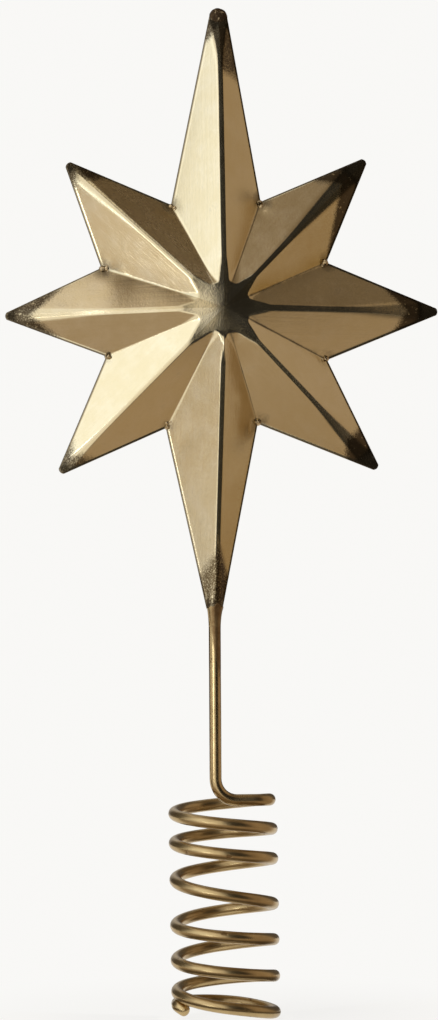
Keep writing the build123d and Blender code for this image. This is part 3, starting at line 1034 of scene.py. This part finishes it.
# %% [markdown]
# ## Solder
# A dab sits in the corner of every notch, a bead caps the top ray and a collar joins the sheets to the
# wire. Solder lumps are never alike, so the dabs are one small ball placed many times by a tree with a
# seeded turn and size, and noise breaks up their surface.

# %% Tree of the dabs
DAB_SIZES = {"Radius": 1.15 * MM, "Lump": 0.5 * MM, "Rubbed": 1, "Seed": 4}
# Each dab is a few balls run together: inwards from the notch and to the side, in mm
DAB_SPOTS = ((0.5, 0.2), (1.5, -0.5), (2.2, 0.6), (3.3, -0.1))
DAB_SCALES = (0.55, 1.0)
DAB_DEEPEN = 1.6
BALL_SPLITS = 4
FULL_TURNS = (6.3, 6.3, 6.3)


def dab_tree(material):
    """The tree that puts a lumpy ball of solder on each point."""
    tree, size = start_tree("solder_dabs", DAB_SIZES)
    start = Link(tree)
    least, most = DAB_SCALES
    ball = start.add("GeometryNodeMeshIcoSphere", {}, {
        "Radius": size["Radius"], "Subdivisions": BALL_SPLITS})
    turn = start.add("FunctionNodeRandomValue", {"data_type": "FLOAT_VECTOR"},
                     {0: (0, 0, 0), 1: FULL_TURNS, "Seed": size["Seed"]})
    scale = start.add("FunctionNodeRandomValue", {"data_type": "FLOAT"},
                      {2: least, 3: most, "Seed": size["Seed"] + 1}, 1)
    dabs = start.add("GeometryNodeInstanceOnPoints", {}, {
        "Points": size["Geometry"], "Instance": ball, "Rotation": turn, "Scale": scale})
    dabs = start.add("GeometryNodeRealizeInstances", {}, {"Geometry": dabs})
    position = start.add("GeometryNodeInputPosition")
    normal = start.add("GeometryNodeInputNormal")
    lump = (noise(position, 420, 3, 0.6) - 0.5) * 2 * size["Lump"]
    offset = start.add("ShaderNodeVectorMath", {"operation": "SCALE"}, {0: normal, "Scale": lump})
    dabs = start.add("GeometryNodeSetPosition", {}, {"Geometry": dabs, "Offset": offset})
    end_tree(store(dabs, "rubbed", size["Rubbed"]), material)
    return tree


def point_cloud(name, places):
    """An object of loose points, on which a tree puts its balls."""
    mesh = bpy.data.meshes.new(name)
    mesh.from_pydata([tuple(place) for place in places], [], [])
    return bpy.data.objects.new(name, mesh)


solder_balls = dab_tree(solder_metal)
inwards = -notches / np.linalg.norm(notches, axis=1, keepdims=True)
sideways = np.stack((inwards[:, 1], -inwards[:, 0]), axis=1)
dab_places = [notches + (inwards * inset + sideways * aside) * MM for inset, aside in DAB_SPOTS]
dab_places = lift(np.concatenate(dab_places)) + STAR_CENTRE
dabs = apply_tree("notch_dabs", point_cloud("dab_points", dab_places), solder_balls, DAB_SIZES)
for vertex in dabs.data.vertices:
    vertex.co.y = STEM_Y + (vertex.co.y - STEM_Y) * DAB_DEEPEN
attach(dabs, "star")
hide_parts(*[f"notch_solder_{ray + 1}" for ray in range(RAY_COUNT)])

# %% Bead on the top ray
BEAD_SIZES = {"Radius": 2.5 * MM, "Lump": 0.3 * MM, "Rubbed": 0, "Seed": 1}
BEAD_HALF_WIDTH = 2.8 * MM
BEAD_HALF_DEPTH = 1.2 * MM
# How much thinner the bead's lower half becomes, where it sinks into the sheets
BEAD_SINK = 0.8
bead_middle = lift(ray_directions[:1] * ray_reaches[0]) + STAR_CENTRE
bead = apply_tree("tip_bead", point_cloud("bead_point", bead_middle), solder_balls, BEAD_SIZES)
middle = Vector(bead_middle[0])
bead_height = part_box("top_tip_solder")[1].z - middle.z
spread = np.array([vertex.co - middle for vertex in bead.data.vertices])
spread *= np.array((BEAD_HALF_WIDTH, BEAD_HALF_DEPTH, bead_height)) / spread.max(axis=0)
spread[:, 1] *= 1 - BEAD_SINK * ramp(spread[:, 2], 0, spread[:, 2].min())
for vertex, offset in zip(bead.data.vertices, spread):
    vertex.co = middle + Vector(offset)
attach(bead, "star")
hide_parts("top_tip_solder")

# %% Collar of the stem
COLLAR_LENGTH = 5.3 * MM
COLLAR_RISE = 0.8 * MM
COLLAR_SPREAD = SLEEVE_RADIUS * 1.04 - WIRE_RADIUS
COLLAR_SKIN = 0.1 * MM
COLLAR_WOBBLE = 0.1
COLLAR_RINGS = 26
COLLAR_SIDES = 40
# Waves of the ragged upper edge: height, count round the stem and start
EDGE_WAVES = ((0.5 * MM, 3, 1), (0.35 * MM, 7, 0))


def collar_mesh(name):
    """A waisted collar, turned about the stem, with a ragged upper edge."""
    points = []
    for ring in range(COLLAR_RINGS + 1):
        share = ring / COLLAR_RINGS
        over = COLLAR_SPREAD * (1 - share) ** 2 + COLLAR_SKIN * (1 - share)
        for side in range(COLLAR_SIDES):
            angle = 2 * math.pi * side / COLLAR_SIDES
            ragged = sum(high * math.sin(count * angle + start) for high, count, start in EDGE_WAVES)
            z = SHELL_BOTTOM + (COLLAR_RISE + ragged) * (1 - share) - COLLAR_LENGTH * share
            reach = WIRE_RADIUS + over * (1 + COLLAR_WOBBLE * math.sin(2 * angle + 5 * share))
            points.append((STEM_X + reach * math.sin(angle), STEM_Y - reach * math.cos(angle), z))
    top, bottom = len(points), len(points) + 1
    points += [(STEM_X, STEM_Y, SHELL_BOTTOM + COLLAR_RISE), (STEM_X, STEM_Y, SHELL_BOTTOM - COLLAR_LENGTH)]
    quads = ring_faces(COLLAR_RINGS + 1, 0, COLLAR_SIDES, True)
    # Each quad starts at its upper corner, which sets the diagonal it is split along
    faces = [quad[-1:] + quad[:-1] for quad in quads]
    last = COLLAR_RINGS * COLLAR_SIDES
    for side in range(COLLAR_SIDES):
        after = (side + 1) % COLLAR_SIDES
        faces += [(top, side, after), (bottom, last + after, last + side)]
    mesh = bpy.data.meshes.new(name)
    mesh.from_pydata(points, [], faces)
    mesh.shade_smooth()
    mesh.materials.append(wire_brass)
    return mesh


collar = bpy.data.objects.new("stem_collar", collar_mesh("stem_collar"))
scene.collection.objects.link(collar)
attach(collar, "star")
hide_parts("stem_braze")
print("collar of", len(collar.data.polygons), "faces")

# %% [markdown]
# ## Studio
# Polished metal shows its surroundings more than its own colour, so the studio is built for the
# reflections: a large soft light at the left, a dark screen behind the camera, a dim warm screen at the
# right, a top that is light at the left only and a low mat round the foot. The floor and the far background
# are pale. The screens and the mat are not seen by the camera itself.

# %% Pale floor and world
PALE = (0.945, 0.938, 0.92, 1)
FLOOR_REACH = 6.0
# A faint shadow round the foot: from where and up to where it fades, and how dark it is
SHADOW_FADE = (0.03, 0.12)
SHADOW_DARK = 0.09
# Strength of the background's light on what is not mirrored
WORLD_FILL = 0.35


def seen_ray(link):
    """1 where the camera, a reflection or clear glass looks at the background."""
    path = link.add("ShaderNodeLightPath")
    return (path + path.other("Is Glossy Ray") + path.other("Is Transmission Ray")).clamped()


def start_paint(name):
    """An empty material of the studio and the start of its tree."""
    material = bpy.data.materials.new(name)
    material.use_nodes = True
    tree = material.node_tree
    tree.nodes.remove(tree.nodes["Principled BSDF"])
    return material, Link(tree)


def end_paint(shader):
    """Give a material of the studio its surface."""
    shader.tree.links.new(shader.socket, shader.tree.nodes["Material Output"].inputs["Surface"])


def glow(link, colour):
    """Light of one colour."""
    return link.add("ShaderNodeEmission", {}, {"Color": colour, "Strength": 1})


def card(name, points, faces, spots, material):
    """A sheet of the studio, whose map gives each point a spot."""
    mesh = bpy.data.meshes.new(name)
    mesh.from_pydata(points, [], faces)
    layer = mesh.uv_layers.new(name="card")
    for loop, corner in zip(mesh.loops, layer.data):
        corner.uv = spots[loop.vertex_index]
    mesh.materials.append(material)
    obj = bpy.data.objects.new(name, mesh)
    scene.collection.objects.link(obj)
    return obj


def level_card(name, side, front, back, height, material):
    """A level sheet with a 0 to 1 map."""
    corners = [(-side, front, height), (side, front, height), (side, back, height), (-side, back, height)]
    return card(name, corners, [(0, 1, 2, 3)], [(0, 0), (1, 0), (1, 1), (0, 1)], material)


floor_paint, start = start_paint("floor_paint")
place = start.add("ShaderNodeTexCoord", {}, {}, 3)
shadow = (1 - start.vector_math("LENGTH", place, output=1).rise(*SHADOW_FADE)) * SHADOW_DARK
matte = start.add("ShaderNodeBsdfDiffuse", {}, {"Color": PALE})
share = seen_ray(start) * (1 - shadow)
end_paint(start.add("ShaderNodeMixShader", {}, {0: share, 1: matte, 2: glow(start, PALE)}))
level_card("floor", FLOOR_REACH, -FLOOR_REACH, FLOOR_REACH, 0, floor_paint)

world = bpy.data.worlds.new("studio")
scene.world = world
world.use_nodes = True
tree = world.node_tree
backdrop = tree.nodes["Background"]
backdrop.inputs["Color"].default_value = PALE
start = Link(tree)
strength = WORLD_FILL + (1 - WORLD_FILL) * seen_ray(start)
tree.links.new(strength.socket, backdrop.inputs["Strength"])
print("floor and world")

# %% Screens round the star
SCREEN_RADIUS = 1.3
SCREEN_TOP = 1.8
SCREEN_LOW = 0.01
SCREEN_STEPS = 24
# The light at the left is two bands that meet at this height: the lower one is for the stem and the coil
STEM_BAND = 0.13
# Angles of the screens, from the front to the right
LEFT, FRONT, RIGHT, BACK = (8, -105), (8, 52), (52, 120), (120, 255)
TOP_SIDE, TOP_FRONT, TOP_BACK = 1.4, -1.4, 0.9


def grey(level, warm=0.0):
    """A light level, made warmer by taking away green and blue, or cooler below zero."""
    return (level, level * (1 - 0.5 * warm), level * (1 - warm), 1)


def shades(*stops):
    """Stops of a ramp from places, light levels and, where given, warmths."""
    return [(place, grey(*light)) for place, *light in stops]


def screen_paint(name, stops):
    """A glowing screen whose light follows its map from side to side."""
    material, start = start_paint(name)
    spot = start.add("ShaderNodeUVMap", {"uv_map": "card"})
    end_paint(glow(start, start.add("ShaderNodeValToRGB", {"stops": stops}, {0: spot.axes()})))
    return material


def hide_screen(obj):
    """A screen lights and is mirrored, but the camera looks through it and it throws no shadow."""
    obj.visible_camera = False
    obj.visible_shadow = False


def bent_screen(name, angles, rows, middle, material):
    """A screen bent round a middle. Each row has a radius, a height and its spot on the map."""
    points, spots = [], []
    for radius, height, spot in rows:
        for share in np.arange(SCREEN_STEPS + 1) / SCREEN_STEPS:
            angle = math.radians(angles[0] + (angles[1] - angles[0]) * share)
            x, y = middle[0] + radius * math.sin(angle), middle[1] - radius * math.cos(angle)
            points.append((x, y, height))
            spots.append((share, spot))
    row = SCREEN_STEPS + 1
    corners = [first for first in range(len(points) - row) if (first + 1) % row]
    faces = [(first, first + row, first + row + 1, first + 1) for first in corners]
    hide_screen(card(name, points, faces, spots, material))


def round_screen(name, angles, low, high, stops):
    """An upright curved screen round the star."""
    rows = ((SCREEN_RADIUS, low, 0), (SCREEN_RADIUS, high, 1))
    bent_screen(name, angles, rows, STAR_CENTRE, screen_paint(name, stops))


round_screen("key_screen", LEFT, STEM_BAND, SCREEN_TOP, shades(
    (0, 0.03), (0.07, 0.05), (0.095, 0.25), (0.115, 0.8), (0.14, 1.2), (0.17, 1.2), (0.22, 1.05),
    (0.37, 1.05), (0.485, 1.4, -0.12), (0.73, 1.37, -0.12), (0.875, 0.7), (1, 0.1, 0.2)))
round_screen("stem_key", LEFT, SCREEN_LOW, STEM_BAND, shades(
    (0, 0.03), (0.06, 0.05), (0.1, 0.3), (0.14, 0.7), (0.24, 1), (0.34, 1.9), (0.4, 6, -0.2),
    (0.49, 6, -0.2), (0.545, 1.2), (0.6, 0.3), (0.74, 0.4), (0.86, 1.3), (1, 1.5)))
round_screen("front_screen", FRONT, SCREEN_LOW, SCREEN_TOP, shades((0, 0.022), (1, 0.028)))
round_screen("warm_screen", RIGHT, SCREEN_LOW, SCREEN_TOP, shades(
    (0, 0.36, 0.42), (0.12, 0.45, 0.42), (0.85, 0.5, 0.35), (1, 0.15, 0.2)))
round_screen("back_screen", BACK, SCREEN_LOW, SCREEN_TOP, shades(
    (0, 0.12, 0.2), (0.32, 0.12, 0.2), (0.42, 0.6), (0.52, 0.6), (0.62, 0.1, 0.2), (1, 0.1, 0.2)))
top_paint = screen_paint("top_screen", shades(
    (0, 1.1, 0.1), (0.3, 0.95, 0.12), (0.355, 0.35, 0.35), (0.4, 0.27, 0.4), (0.5, 0.26, 0.42),
    (0.7, 0.18, 0.42), (1, 0.22, 0.42)))
hide_screen(level_card("top_screen", TOP_SIDE, TOP_FRONT, TOP_BACK, SCREEN_TOP, top_paint))
print("six screens")

# %% Mat round the foot
MAT_ANGLES = (-115, 120)
MAT_HEIGHT = 0.4 * MM
MAT_RINGS = (0.02, 0.05, 0.09, 0.16, 0.25, 0.4, 0.7, SCREEN_RADIUS)
# Its light by direction, far from the foot and near it
FAR_SHADES = shades(
    (0, 0.4, 0.2), (0.06, 0.12, 0.2), (0.12, 0.15, 0.2), (0.22, 1.05), (0.4, 1.15), (0.445, 1.15),
    (0.463, 0.8), (0.477, 0.25), (0.49, 0.05), (0.515, 0.04), (0.66, 0.04), (0.76, 0.42, 0.42),
    (1, 0.47, 0.42))
NEAR_SHADES = shades((0, 0.5, 0.35), (0.45, 0.46, 0.38), (0.65, 0.48, 0.42), (1, 0.43, 0.42))
# The dark at the foot is painted shadow under the coil
FOOT_PAINTED_SHADOW, EDGE_SHADE = grey(0.1, 0.4), grey(0.72, 0.36)
# Distances over which these lights meet, and the share of the directions that the left edge takes up
FOOT_FADE, FAR_FADE, EDGE_FADE = (0.03, 0.08), (0.15, 0.23), (0.73, 0.89)
EDGE_SHARE = (0.28, 0.36)


def mat_paint(name):
    """The mat's light: dark in front of the camera, lighter at the sides and dark at the foot as painted
    shadow.
    """
    material, start = start_paint(name)
    side = start.add("ShaderNodeUVMap", {"uv_map": "card"}).axes()
    radius = side.other(1)
    far = start.add("ShaderNodeValToRGB", {"stops": FAR_SHADES}, {0: side})
    near = start.add("ShaderNodeValToRGB", {"stops": NEAR_SHADES}, {0: side})
    light = colour_mix(radius.rise(*FAR_FADE), near, far)
    left_edge = radius.rise(*EDGE_FADE) * (1 - side.rise(*EDGE_SHARE))
    light = colour_mix(left_edge, light, EDGE_SHADE)
    end_paint(glow(start, colour_mix(radius.rise(*FOOT_FADE), FOOT_PAINTED_SHADOW, light)))
    return material


mat_rows = [(radius, MAT_HEIGHT, radius) for radius in MAT_RINGS]
bent_screen("low_screen", MAT_ANGLES, mat_rows, (0, 0), mat_paint("low_screen"))
print("mat of", len(MAT_RINGS), "rings")

# %% Soft lamp
LAMP_POWER = 6
LAMP_SIZE = 0.7
LAMP_PLACE = Vector((-0.75, -0.45, 1.1))
lamp_data = bpy.data.lights.new("soft_lamp", "AREA")
lamp_data.shape = "DISK"
lamp_data.size = LAMP_SIZE
lamp_data.energy = LAMP_POWER
lamp = bpy.data.objects.new("soft_lamp", lamp_data)
lamp.location = LAMP_PLACE
lamp.rotation_euler = (Vector(STAR_CENTRE) - LAMP_PLACE).to_track_quat("-Z", "Y").to_euler()
lamp.visible_glossy = False
scene.collection.objects.link(lamp)
print("lamp at", tuple(round(value, 2) for value in LAMP_PLACE))
